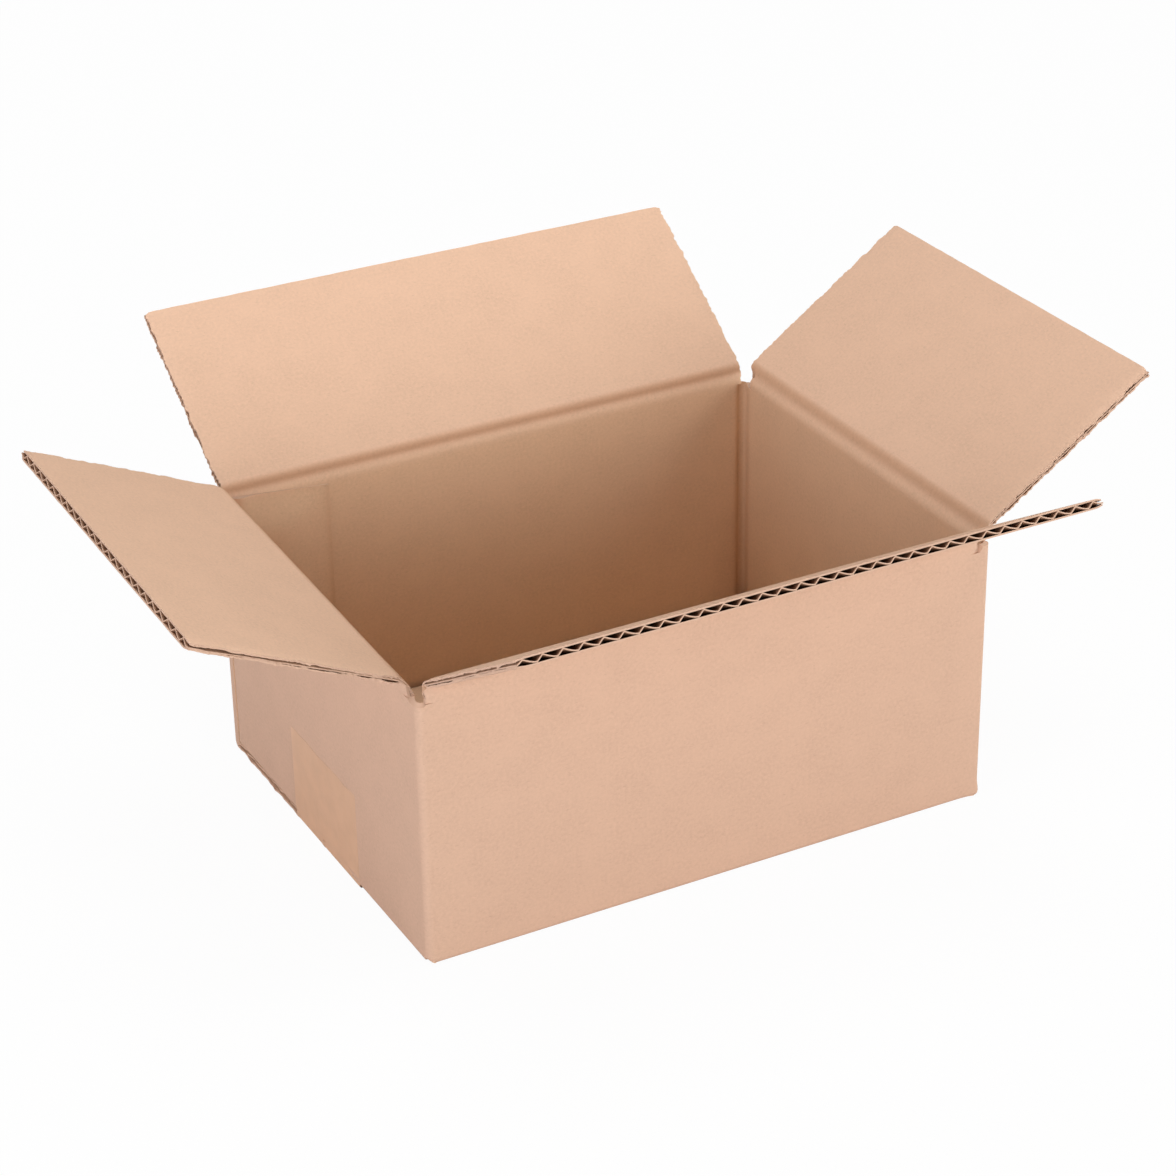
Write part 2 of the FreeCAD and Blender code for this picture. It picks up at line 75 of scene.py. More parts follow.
# Places along one wave of the fluted sheet that get a row of points
WAVE_PLACES = (0.0, 0.075, 0.15, 0.225, 0.30, 0.36, 0.45, 0.56, 0.69, 0.84)

# Distance from a cut side over which the two facings are pinched together
PINCH_REACH = 1.6 * MM

# Distances from a cut side at which a facing has a row of points
EDGE_STEPS = tuple(step * MM for step in (0.0, 0.35, 0.8, 1.4, 2.2, 3.4, 5.5))
MIDDLE_COLUMNS = 38

RUN_NAMES = ("back", "right", "front", "left", "tab")
RUN_COLUMNS = (96, 70, 96, 70, 26)
FOLD_COLUMNS = 6

# The strip's raw end at the back left corner, and the glued tab's length, top and foot at its two ends
RAW_END_GAP = 0.3 * MM
TAB_LENGTH = 39.5 * MM
TAB_TOPS = (96.9 * MM, 93.2 * MM)
TAB_FEET = (7.4 * MM, 9.7 * MM)

# Feet of the walls: on the outer bottom flaps, and the left wall's front part lower
WALL_FOOT = 3.1 * MM
LEFT_FRONT_FOOT = 1.3 * MM

# Depth of an upright crease on the inner face, and its widths before it, after it and on the tab
GROOVE_DEPTH = 1.7 * MM
GROOVE_BEFORE = 0.9 * MM
GROOVE_AFTER = 3.0 * MM
GROOVE_ON_TAB = 2.2 * MM

# For the fold after each run: heights of the slot's floor on the outer and the inner face, and how
# far the slot reaches into the run before the fold and the run after it
SLOT_FLOORS = ((92.8 * MM, 93.6 * MM), (95.3 * MM, 95.8 * MM), (92.7 * MM, 93.7 * MM))
SLOT_WIDTHS = ((0.6 * MM, 0.6 * MM), (0.6 * MM, 1.6 * MM), (0.7 * MM, 3.6 * MM))

# Bottom flaps: reach of the short ones, the gap between the layers, and the gaps at their ends
SHORT_REACH = 75.2 * MM
LAYER_GAP = 0.3 * MM
SEAM_GAP = 0.5 * MM
LONG_END_GAP = 0.3 * MM
FRONT_LEFT_END_GAP = 3.3 * MM
SHORT_END_GAP = 4.2 * MM

# Sides of the film, which lies further to the front than the CAD tape, and the room that it takes
TAPE_SIDES = (TAPE_LOW.y - 2.6 * MM, TAPE_HIGH.y - 1.6 * MM)
FILM = 0.1 * MM
FILM_ROOM = 0.12 * MM

# Lamps: name, turn from the front, height angle, power
LAMPS = (
    ("lamp_left", -75.0, 10.0, 20.8),
    ("lamp_front_left", -30.0, 10.0, 13.8),
    ("lamp_front_right", 30.0, 10.0, 18.5),
    ("lamp_right", 75.0, 10.0, 17.5),
    ("lamp_back", 180.0, 35.0, 8.0),
    ("lamp_top", 0.0, 89.9, 18.2),
)


class BoxSizes(PropertyGroup):
    board: FloatProperty(
        name="Board", description="Thickness of the corrugated board", default=3.0 * MM, unit="LENGTH"
    )
    liner: FloatProperty(
        name="Liner", description="Thickness of each facing sheet", default=0.5 * MM, unit="LENGTH"
    )
    medium: FloatProperty(
        name="Medium", description="Thickness of the fluted sheet", default=0.42 * MM, unit="LENGTH"
    )
    pitch: FloatProperty(
        name="Flute Pitch", description="Distance from flute to flute", default=6.4 * MM, unit="LENGTH"
    )
    reach: FloatProperty(
        name="Flap Reach", description="From a crease to the free edge", default=75.0 * MM, unit="LENGTH"
    )
    slot_floor: FloatProperty(
        name="Slot Floor", description="Height where the corner slots end", default=93.4 * MM, unit="LENGTH"
    )
    fold_radius: FloatProperty(
        name="Fold Radius", description="Outer radius of a fold", default=2.4 * MM, unit="LENGTH"
    )
    inner_radius: FloatProperty(
        name="Inner Radius", description="Inner radius of an upright fold", default=0.8 * MM, unit="LENGTH"
    )
    crease_spread: FloatProperty(
        name="Crease Spread",
        description="Half the length over which a flap bends",
        default=3.2 * MM,
        unit="LENGTH",
    )
    crease_dent: FloatProperty(
        name="Crease Dent",
        description="Depth of the dent on the inside of a crease",
        default=0.95 * MM,
        unit="LENGTH",
    )
    crease_crush: FloatProperty(
        name="Crease Crush",
        description="How far a crease presses the outer face in",
        default=1.1 * MM,
        unit="LENGTH",
    )
    rag: FloatProperty(
        name="Ragged Cut", description="Unevenness of a slotted edge", default=0.26 * MM, unit="LENGTH"
    )


class BoxColours(PropertyGroup):
    outside: FloatVectorProperty(
        name="Outside", description="Outer facing", subtype="COLOR", default=(0.582, 0.381, 0.272)
    )
    inside: FloatVectorProperty(
        name="Inside", description="Inner facing", subtype="COLOR", default=(0.768, 0.506, 0.351)
    )
    # Painted shade: the walls' inner facing, the same sheet as the flaps' inner facing, made darker for the
    # shade inside the box
    inside_walls_shaded: FloatVectorProperty(
        name="Inside Walls",
        description="Inner facing of the walls",
        subtype="COLOR",
        default=(0.728, 0.498, 0.328),
    )
    cut: FloatVectorProperty(
        name="Cut Edge", description="Freshly cut paper edges", subtype="COLOR", default=(0.95, 0.86, 0.77)
    )
    flute: FloatVectorProperty(
        name="Flutes",
        description="Fluted sheet inside the board",
        subtype="COLOR",
        default=(0.47, 0.28, 0.18),
    )
    # Painted shade: a dark tone for the walls' rims, the slot floors, the tab's top edge and the bottom
    # flaps' cut edges, standing for the shade they lie in
    painted_shade: FloatVectorProperty(
        name="Pressed", description="Raw and pressed edges", subtype="COLOR", default=(0.21, 0.125, 0.08)
    )
    tape: FloatVectorProperty(
        name="Tape", description="Packing tape over board", subtype="COLOR", default=(0.628, 0.384, 0.240)
    )


class StageSettings(PropertyGroup):
    azimuth: FloatProperty(name="Azimuth", description="Camera turn from the front", default=-27.7305)
    elevation: FloatProperty(name="Elevation", description="Camera height angle", default=27.8907)
    roll: FloatProperty(name="Roll", description="Camera roll", default=-1.0165)
    distance: FloatProperty(name="Distance", description="Camera to target", default=1.0635, unit="LENGTH")
    target: FloatVectorProperty(
        name="Target", description="Point at the middle of the picture", default=(0.0023, 0.0114, 0.0648)
    )
    lens: FloatProperty(name="Lens", description="Focal length in millimetres", default=96.565)
    power: FloatProperty(name="Power", description="All lamps against their set power", default=1.0)
    lamp_size: FloatProperty(name="Lamp Size", description="Width of each lamp", default=1.2, unit="LENGTH")
    lamp_distance: FloatProperty(
        name="Lamp Distance", description="Lamps to the box", default=2.0, unit="LENGTH"
    )
    sky: FloatProperty(name="Sky", description="Strength of the even light", default=0.067)


# Small maths shared by the pieces
def mix(first, last, share):
    return first + (last - first) * share


def ease(share):
    share = min(max(share, 0.0), 1.0)
    return share * share * (3.0 - 2.0 * share)


def bell(offset, width):
    return math.exp(-((offset / width) ** 2))


def jitter(place, size, seed):
    """A smooth random offset along a line, from -size to size."""
    return noise.noise(Vector((place, seed * 7.31, 1.7))) * size * 2.0


# Materials
def new_material(name):
    material = bpy.data.materials.new(name)
    material.use_nodes = True
    nodes = material.node_tree.nodes
    shader = nodes["Principled BSDF"]
    return material, nodes, material.node_tree.links, shader


def blank_millimetres(nodes, links):
    """The piece's place on the flat blank, in millimetres."""
    blank = nodes.new("ShaderNodeUVMap")
    blank.uv_map = "blank"
    scale = nodes.new("ShaderNodeMapping")
    scale.inputs["Scale"].default_value = (1000.0, 1000.0, 1000.0)
    links.new(blank.outputs["UV"], scale.inputs["Vector"])
    return scale.outputs["Vector"]


def noise_node(nodes, links, vector, scale, detail, roughness=0.5):
    texture = nodes.new("ShaderNodeTexNoise")
    texture.inputs["Scale"].default_value = scale
    texture.inputs["Detail"].default_value = detail
    texture.inputs["Roughness"].default_value = roughness
    links.new(vector, texture.inputs["Vector"])
    return texture.outputs["Fac"]


def stretched(nodes, links, vector, scale, turn):
    mapping = nodes.new("ShaderNodeMapping")
    mapping.inputs["Rotation"].default_value = (0.0, 0.0, math.radians(turn))
    mapping.inputs["Scale"].default_value = scale
    links.new(vector, mapping.inputs["Vector"])
    return mapping.outputs["Vector"]


def fitted(nodes, links, value, low, high, out_low, out_high):
    remap = nodes.new("ShaderNodeMapRange")
    remap.inputs["From Min"].default_value = low
    remap.inputs["From Max"].default_value = high
    remap.inputs["To Min"].default_value = out_low
    remap.inputs["To Max"].default_value = out_high
    links.new(value, remap.inputs["Value"])
    return remap.outputs["Result"]


def mixed_colour(nodes, links, factor, first, second, blend="MIX"):
    """Mixes two colours, each given as numbers or as a socket."""
    blender = nodes.new("ShaderNodeMix")
    blender.data_type = "RGBA"
    blender.blend_type = blend
    for index, value in ((0, factor), (6, first), (7, second)):
        if isinstance(value, bpy.types.NodeSocket):
            links.new(value, blender.inputs[index])
        else:
            blender.inputs[index].default_value = value
    return blender.outputs[2]


def tint(colour, factor):
    return tuple(min(channel * factor, 1.0) for channel in colour) + (1.0,)


def cloudy(nodes, links, value, colour, darkest, palest):
    """A colour that a noise moves between two of its tones."""
    share = fitted(nodes, links, value, 0.3, 0.7, 0.0, 1.0)
    return mixed_colour(nodes, links, share, tint(colour, darkest), tint(colour, palest))


# Painted shade along a crease: its tone against the board beside it, standing for the shade in the crease's
# groove
CREASE_SHADE = (0.80, 0.74, 0.68, 1.0)

# Fibres in the facing: turn, level of the noise where they start, their tone and strength
FIBRES = ((18.0, 0.66, 0.72, 0.32), (-31.0, 0.69, 1.25, 0.30), (77.0, 0.68, 0.76, 0.26))


def make_kraft(name, colour, shaded_wall_colour=None):
    """Kraft facing: cloudy tone, grain, small fibres and the faint lines of the flutes below. Given a
    shaded wall colour, it also gets painted shade: darker on the walls and along the crease.
    """
    material, nodes, links, shader = new_material(name)
    place = blank_millimetres(nodes, links)
    clouds = noise_node(nodes, links, place, 0.07, 3.0, 0.6)
    tone = cloudy(nodes, links, clouds, colour, 0.95, 1.05)
    grain = noise_node(nodes, links, place, 0.9, 4.0, 0.7)
    grain_tone = fitted(nodes, links, grain, 0.25, 0.75, 0.0, 1.0)
    tone = mixed_colour(nodes, links, grain_tone, tone, tint(colour, 1.08))
    weave = mixed_colour(nodes, links, grain_tone, tint((1.0, 1.0, 1.0), 0.93), (1.0, 1.0, 1.0, 1.0))
    tone = mixed_colour(nodes, links, 1.0, tone, weave, "MULTIPLY")
    for turn, low, colour_factor, strength in FIBRES:
        long_way = stretched(nodes, links, place, (0.5, 1.9, 1.0), turn)
        fibre = noise_node(nodes, links, long_way, 1.0, 1.0, 0.5)
        share = fitted(nodes, links, fibre, low, low + 0.08, 0.0, strength)
        tone = mixed_colour(nodes, links, share, tone, tint(colour, colour_factor))
    # Painted shade on the inner facing: the walls darker and a dark band along the crease
    if shaded_wall_colour:
        shade = painted_crease_and_wall_shade(nodes, links, place, colour, shaded_wall_colour)
        tone = mixed_colour(nodes, links, 1.0, tone, shade, "MULTIPLY")
    links.new(tone, shader.inputs["Base Color"])
    shader.inputs["Roughness"].default_value = 0.86
    shader.inputs["Specular IOR Level"].default_value = 0.25

    bump = nodes.new("ShaderNodeBump")
    bump.inputs["Strength"].default_value = 0.35
    bump.inputs["Distance"].default_value = 0.00012
    links.new(grain, bump.inputs["Height"])
    ribs = nodes.new("ShaderNodeBump")
    ribs.inputs["Strength"].default_value = 0.02
    ribs.inputs["Distance"].default_value = 0.0006
    links.new(flute_lines(nodes, links, place), ribs.inputs["Height"])
    links.new(bump.outputs["Normal"], ribs.inputs["Normal"])
    links.new(ribs.outputs["Normal"], shader.inputs["Normal"])
    return material


def painted_crease_and_wall_shade(nodes, links, place, colour, shaded_wall_colour):
    """Painted shade against the flaps' colour: darker on the walls, for the shade inside the box, and
    darkest along the crease, where it is pressed in, for the shade in its groove.
    """
    split = nodes.new("ShaderNodeSeparateXYZ")
    links.new(place, split.inputs["Vector"])
    height = split.outputs["Y"]
    # Painted shade of the walls, against the flaps' tone
    wall_shade_tone = tuple(wall / flap for wall, flap in zip(shaded_wall_colour, colour)) + (1.0,)
    above = eased(nodes, links, height, 1092.0, 1100.0)
    tone = mixed_colour(nodes, links, above, wall_shade_tone, (1.0, 1.0, 1.0, 1.0))
    # Painted shade: a dark band along the crease
    rise = eased(nodes, links, height, 1096.2, 1099.2)
    fall = eased(nodes, links, height, 1102.0, 1099.6)
    crease_shade_band = nodes.new("ShaderNodeMath")
    crease_shade_band.operation = "MULTIPLY"
    links.new(rise, crease_shade_band.inputs[0])
    links.new(fall, crease_shade_band.inputs[1])
    painted_shade = mixed_colour(nodes, links, 1.0, tone, CREASE_SHADE, "MULTIPLY")
    return mixed_colour(nodes, links, crease_shade_band.outputs[0], tone, painted_shade)


def eased(nodes, links, value, low, high):
    """A smooth step from 0 at low to 1 at high."""
    result = fitted(nodes, links, value, low, high, 0.0, 1.0)
    result.node.interpolation_type = "SMOOTHSTEP"
    return result


def flute_lines(nodes, links, place):
    """A soft wave across the flutes, one to a pitch."""
    split = nodes.new("ShaderNodeSeparateXYZ")
    links.new(place, split.inputs["Vector"])
    turn = nodes.new("ShaderNodeMath")
    turn.operation = "MULTIPLY"
    turn.inputs[1].default_value = 2.0 * math.pi / (bpy.context.scene.box_sizes.pitch / MM)
    links.new(split.outputs["X"], turn.inputs[0])
    wave = nodes.new("ShaderNodeMath")
    wave.operation = "SINE"
    links.new(turn.outputs[0], wave.inputs[0])
    return wave.outputs[0]


def make_raw_paper(name, colour, tones, grain_scale, grain_roughness, gloss):
    """Raw paper of the cut edges, the fluted sheet and the facings' hidden sides, from dark to pale; also
    the dark paper of painted shade on edges that lie in shade.
    """
    material, nodes, links, shader = new_material(name)
    grain = noise_node(nodes, links, blank_millimetres(nodes, links), grain_scale, 3.0, grain_roughness)
    links.new(cloudy(nodes, links, grain, colour, *tones), shader.inputs["Base Color"])
    shader.inputs["Roughness"].default_value = 0.95
    shader.inputs["Specular IOR Level"].default_value = gloss
    return material


def make_tape_film(name, colour):
    """Thin tan film pressed on the board: smooth, with a low gloss and faint creases."""
    material, nodes, links, shader = new_material(name)
    place = blank_millimetres(nodes, links)
    clouds = noise_node(nodes, links, place, 0.12, 3.0, 0.6)
    links.new(cloudy(nodes, links, clouds, colour, 0.96, 1.05), shader.inputs["Base Color"])
    shader.inputs["Roughness"].default_value = 0.42
    shader.inputs["Specular IOR Level"].default_value = 0.4
    bump = nodes.new("ShaderNodeBump")
    bump.inputs["Strength"].default_value = 0.25
    bump.inputs["Distance"].default_value = 0.0004
    long_way = stretched(nodes, links, place, (0.3, 0.06, 1.0), 0.0)
    links.new(noise_node(nodes, links, long_way, 1.0, 2.0), bump.inputs["Height"])
    links.new(bump.outputs["Normal"], shader.inputs["Normal"])
    return material


@functools.lru_cache(maxsize=None)
def material_set():
    """The materials of every piece, made once."""
    colours = bpy.context.scene.box_colours
    dark_tones = (0.8, 1.15)
    return {
        "outside": make_kraft("kraft_outside", tuple(colours.outside)),
        "inside": make_kraft("kraft_inside_and_painted_shade", tuple(colours.inside), tuple(colours.inside_walls_shaded)),
        "cut": make_raw_paper("cut_paper_edge", tuple(colours.cut), (0.72, 1.1), 2.2, 0.7, 0.15),
        "flute": make_raw_paper("flute_paper", tuple(colours.flute), dark_tones, 1.1, 0.6, 0.1),
        # Dark paper of painted shade, for edges that lie in shade
        "painted_shade": make_raw_paper("shaded_edge_paper", tuple(colours.painted_shade), dark_tones, 1.1, 0.6, 0.1),
        "tape": make_tape_film("tape_film", tuple(colours.tape)),
    }


BOARD_MATERIALS = ("outside", "inside", "cut", "flute", "painted_shade")
OUTSIDE, INSIDE, CUT, FLUTE, SHADED_EDGES = range(5)


# Meshes in flat board coordinates: x along the crease, y along the flutes, z through the board
def new_flat_mesh():
    """An empty bmesh with the UV map that keeps the place on the flat blank."""
    bm = bmesh.new()
    bm.loops.layers.uv.new("blank")
    return bm


def flat_grid(bm, columns, rows):
    """A grid of faces over the unit square, facing +Z. Returns its vertices."""
    made = bmesh.ops.create_grid(bm, x_segments=columns, y_segments=rows, size=0.5)
    bmesh.ops.translate(bm, verts=made["verts"], vec=(0.5, 0.5, 0.0))
    return made["verts"]


def step_place(steps, share):
    """The value a share of the way along a list of steps."""
    index = round(share * (len(steps) - 1))
    return steps[index]


def thicken(bm, verts, thickness, top, bottom, rim):
    """Gives a sheet its thickness below it, and its faces their materials."""
    faces = list({face for vert in verts for face in vert.link_faces})
    made = bmesh.ops.solidify(bm, geom=faces, thickness=thickness)
    shell = set(faces) | {item for item in made["geom"] if isinstance(item, bmesh.types.BMFace)}
    bm.normal_update()
    for face in shell:
        face.smooth = True
        if len({vert in verts for vert in face.verts}) == 2:
            face.material_index = rim
        else:
            face.material_index = top if face in faces else bottom
    return shell


def write_blank_uv(faces, layer, origin):
    """Keeps each face's place on the flat blank as its UV. The inner facing lies a metre further on."""
    for face in faces:
        side = 1.0 if face.material_index == INSIDE else 0.0
        for loop in face.loops:
            place = loop.vert.co
            depth = place.z if face.material_index in (CUT, FLUTE, SHADED_EDGES) else 0.0
            loop[layer].uv = (origin[0] + place.x + depth * 0.7, side + origin[1] + place.y + depth)


def wave_height(phase):
    """Height of the fluted sheet along one wave, from -1 on the outer facing to 1 on the inner one."""
    if phase < 0.30:
        return -1.0 + 2.0 * phase / 0.30
    if phase < 0.36:
        return 1.0
    return -1.0 + 2.0 * (1.0 - (phase - 0.36) / 0.64) ** 1.6


class Board:
    """A piece of corrugated board laid flat: two facings and the fluted sheet between them."""

    def __init__(self, span, steps, medium_steps, flutes, seed):
        self.sizes = bpy.context.scene.box_sizes
        self.span = span
        self.steps = steps
        self.medium_steps = medium_steps
        self.flutes = flutes
        self.seed = seed
        self.pinches = (0.45 * MM, 0.45 * MM)
        self.faces = lambda along: (self.sizes.board, 0.0)
        self.closed_until = -1.0
        self.cut = CUT
        self.origin = (0.0, 0.0)
        self.middle_columns = MIDDLE_COLUMNS

    def add_to(self, bm):
        layer = bm.loops.layers.uv["blank"]
        write_blank_uv(self.add_facing(bm, True) | self.add_facing(bm, False), layer, self.origin)
        self.add_medium(bm)

    def heights(self, across, along):
        """Heights of the inner and outer face, pinched together along the cut sides."""
        low, high = self.span(along)
        inner, outer = self.faces(along)
        squeeze = self.pinches[0] * bell(across - low, PINCH_REACH)
        squeeze += self.pinches[1] * bell(high - across, PINCH_REACH)
        if squeeze > 0.001 * MM:
            squeeze *= 0.85 + jitter(along / (4.0 * MM), 0.35, self.seed + 2.0)
        return inner - squeeze, outer + squeeze

    def add_facing(self, bm, is_inner):
        """Adds one facing sheet with its rough cut sides."""
        liner = self.sizes.liner
        columns = len(EDGE_STEPS) * 2 + self.middle_columns
        verts = set(flat_grid(bm, columns - 1, len(self.steps) - 1))
        for vert in verts:
            along = step_place(self.steps, vert.co.y)
            across = self.column_place(round(vert.co.x * (columns - 1)), columns, along)
            inner, outer = self.heights(across, along)
            vert.co = Vector((across, along, inner if is_inner else outer + liner))
        sides = (INSIDE, FLUTE) if is_inner else (FLUTE, OUTSIDE)
        shell = thicken(bm, verts, liner, sides[0], sides[1], self.cut)
        shell_verts = {vert for face in shell for vert in face.verts}
        hidden = shell_verts - verts if is_inner else verts
        self.roughen(shell_verts, hidden, 0.0 if is_inner else 3.0)
        return shell

    def column_place(self, index, columns, along):
        low, high = self.span(along)
        ends = len(EDGE_STEPS)
        if index < ends:
            return low + EDGE_STEPS[index]
        if index >= columns - ends:
            return high - EDGE_STEPS[columns - 1 - index]
        share = (index - ends + 1) / (self.middle_columns + 1)
        return mix(low + EDGE_STEPS[-1], high - EDGE_STEPS[-1], share)

    def roughen(self, verts, hidden, layer_seed):
        """Frays a facing's hidden side at its cuts, makes the cuts ragged and the corners blunt."""
        reach = self.steps[-1]
        for vert in verts:
            across, along, depth = vert.co
            low, high = self.span(along)
            end = 0 if across - low < high - across else 1
            near = max(0.0, min(across - low, high - across))
            seed = self.seed + layer_seed + end * 11.0
            if near < 0.15 * MM and vert in hidden:
                depth = mix(depth, sum(self.heights(across, along)) / 2.0, self.fray(along, seed))
            across += self.ragged(along, seed) * bell(near, 0.8 * MM)
            corner = bell(near, 1.2 * MM) * ease((along - reach + 3.0 * MM) / (3.0 * MM))
            loose = jitter(across / (0.8 * MM), 0.08 * MM, seed) if along > reach - 0.1 * MM else 0.0
            vert.co = Vector((across, along - 0.5 * MM * corner + loose, depth))

    def fray(self, along, seed):
        """Share of the way to the middle of the board that a frayed facing closes."""
        loose = 0.2 + jitter(along / (4.5 * MM), 0.35, seed + 1.0) + jitter(along / (1.1 * MM), 0.2, seed)
        closed = ease(1.0 - (along - self.closed_until) / (2.5 * MM))
        return min(max(mix(loose, 0.85 + loose * 0.2, closed), 0.0), 0.95)

    def ragged(self, along, seed):
        fine = jitter(along / (0.9 * MM), self.sizes.rag * 1.1, seed)
        return jitter(along / (3.1 * MM), self.sizes.rag, seed + 5.0) + fine

    def add_medium(self, bm):
        """Adds the fluted sheet, cut off along the board's sides."""
        sizes = self.sizes
        part = new_flat_mesh()
        self.lay_waves(part)
        for vert in part.verts:
            inner, outer = self.heights(vert.co.x, vert.co.y)
            swing = max(0.0, (inner - outer) / 2.0 - sizes.liner - sizes.medium / 2.0 - 0.02 * MM)
            phase = (self.flutes[0] - vert.co.x) / self.flutes[1] % 1.0
            vert.co.z = (inner + outer) / 2.0 + swing * wave_height(phase) + sizes.medium / 2.0
        faces = thicken(part, set(part.verts), sizes.medium, FLUTE, FLUTE, CUT)
        write_blank_uv(faces, part.loops.layers.uv["blank"], self.origin)
        join_part(bm, part)

    def lay_waves(self, part):
        """Lays a grid with columns at set places of every wave, and cuts it to the board's outline."""
        start, pitch = self.flutes
        near, far = self.medium_steps[0], self.medium_steps[-1]
        low_near, high_near = self.span(near)
        low_far, high_far = self.span(far)
        places = len(WAVE_PLACES)
        first = math.ceil((start - min(low_near, low_far)) / pitch)
        last = math.floor((start - max(high_near, high_far)) / pitch)
        columns = (first - last) * places
        for vert in flat_grid(part, columns, len(self.medium_steps) - 1):
            wave, place = divmod(first * places - round(vert.co.x * columns), places)
            along = step_place(self.medium_steps, vert.co.y)
            vert.co = Vector((start - pitch * (wave + WAVE_PLACES[place]), along, 0.0))
        cut_off(part, (low_near, near), (low_far - low_near, far - near), -1.0)
        cut_off(part, (high_near, near), (high_far - high_near, far - near), 1.0)


def cut_off(bm, place, heading, side):
    """Cuts a flat mesh along a line and drops what lies on that side of it."""
    geometry = bm.verts[:] + bm.edges[:] + bm.faces[:]
    away = Vector((heading[1], -heading[0], 0.0)).normalized() * side
    start = Vector((place[0], place[1], 0.0))
    bmesh.ops.bisect_plane(
        bm, geom=geometry, dist=0.001 * MM, plane_co=start, plane_no=away, clear_outer=True
    )


def join_part(bm, part):
    """Adds one bmesh to another and frees it."""
    holder = bpy.data.meshes.new("board_part")
    part.to_mesh(holder)
    part.free()
    bm.from_mesh(holder)
    bpy.data.meshes.remove(holder)


def finish_mesh(bm, name, names):
    """Writes a bmesh to a new object at the origin with its materials."""
    bm.normal_update()
    mesh = bpy.data.meshes.new(name)
    bm.to_mesh(mesh)
    bm.free()
    for material in names:
        mesh.materials.append(material_set()[material])
    mesh.set_sharp_from_angle(angle=math.radians(38.0))
    piece = bpy.data.objects.new(name, mesh)
    bpy.context.scene.collection.objects.link(piece)
    return piece


# Top flaps
class FlapShape:
    """Where one top flap turns, how it leans, and how its slotted sides run. Pairs are for its two ends."""

    def __init__(self, side, inward, lean_changes, hinge_insets, free_insets):
        joint = JOINTS[side]
        self.side = side
        self.inward = Vector(inward)
        self.along = UP.cross(self.inward)
        self.axis = Vector(joint["pos_m"])
        self.lean = -joint["range_deg"][0] - CLOSED_TURN
        self.lean_changes = lean_changes
        self.hinge_insets = [inset * MM for inset in hinge_insets]
        self.free_insets = [inset * MM for inset in free_insets]
        self.root_insets = (0.0, 0.0)
        self.shifts = (0.0, 0.0)
        self.lifts = (0.0, 0.0)
        self.pinches = (0.45 * MM, 0.45 * MM)
        is_long = abs(self.inward.y) > 0.5
        self.half = HALF_LENGTH if is_long else HALF_WIDTH
        self.dent_at = -1.9 * MM if is_long else -0.4 * MM
        self.flutes = (self.half, bpy.context.scene.box_sizes.pitch)
        wall = HALF_WIDTH if is_long else HALF_LENGTH
        self.axis_depth = wall - abs(self.axis.dot(self.inward))
        self.root = bpy.context.scene.box_sizes.slot_floor - self.axis.z

    def span(self, along):
        """The flap's two cut sides at a distance from the crease, first end first."""
        share = along / bpy.context.scene.box_sizes.reach
        below = ease((1.5 * MM - along) / (2.2 * MM))
        first = mix(self.hinge_insets[0], self.free_insets[0], share) + self.root_insets[0] * below
        last = mix(self.hinge_insets[1], self.free_insets[1], share) + self.root_insets[1] * below
        return -self.half + first, self.half - last

    def faces(self, along):
        return crease_inner(along - self.dent_at), crease_outer(along)


def crease_inner(offset):
    sizes = bpy.context.scene.box_sizes
    return sizes.board - sizes.crease_dent * bell(offset, 2.1 * MM)


def crease_outer(along):
    sizes = bpy.context.scene.box_sizes
    return sizes.crease_crush * bell(along + 0.4 * MM, 1.9 * MM)


def flap_steps(root, reach):
    """Distances from the crease at which a facing has a row: close together at the crease."""
    return even_steps(root, 4.0 * MM, 22)[:-1] + even_steps(4.0 * MM, reach, 100)


def medium_steps(reach):
    return [0.5 * MM, 1.2 * MM, 2.2 * MM] + even_steps(3.5 * MM, reach, 26)


def even_steps(low, high, count):
    return [mix(low, high, index / count) for index in range(count + 1)]


@functools.lru_cache(maxsize=None)
def bend_path(lean, spread):
    """Points along the bend at a crease, as (distance, outward, up, angle) from its turning line."""
    turn = math.radians(lean)
    count = 40
    step = 2.0 * spread / count
    outward, up = 0.0, -spread
    points = [(-spread, outward, up, 0.0)]
    for index in range(count):
        angle = turn * ease((index + 0.5) / count)
        outward += math.sin(angle) * step
        up += math.cos(angle) * step
        points.append((-spread + (index + 1) * step, outward, up, turn * ease((index + 1) / count)))
    drop = up - outward / math.tan(turn)
    return [(place - drop, out, height - drop, angle) for place, out, height, angle in points]


def along_bend(lean, spread, along):
    points = bend_path(round(lean, 2), spread)
    first, last = points[0], points[-1]
    if along <= first[0]:
        return 0.0, along, 0.0
    if along >= last[0]:
        further = along - last[0]
        return last[1] + math.sin(last[3]) * further, last[2] + math.cos(last[3]) * further, last[3]
    share = (along - first[0]) / (last[0] - first[0]) * (len(points) - 1)
    index = min(int(share), len(points) - 2)
    part = share - index
    low, high = points[index], points[index + 1]
    return tuple(mix(low[item], high[item], part) for item in (1, 2, 3))


def fold_flap(shape, place):
    """Moves a point of the flat flap to its place on the box."""
    sizes = bpy.context.scene.box_sizes
    across, along, depth = place
    share = (across / shape.half + 1.0) / 2.0
    lean = shape.lean + mix(shape.lean_changes[0], shape.lean_changes[1], share)
    outward, up, angle = along_bend(lean, sizes.crease_spread, along)
    rise = shape.axis_depth - depth
    outward += rise * math.cos(angle)
    up -= rise * math.sin(angle)
    weight = ease((along - shape.root) / -shape.root)
    outward += weight * mix(shape.shifts[0], shape.shifts[1], share)
    up += weight * mix(shape.lifts[0], shape.lifts[1], share)
    return shape.axis + shape.along * across - shape.inward * outward + UP * up


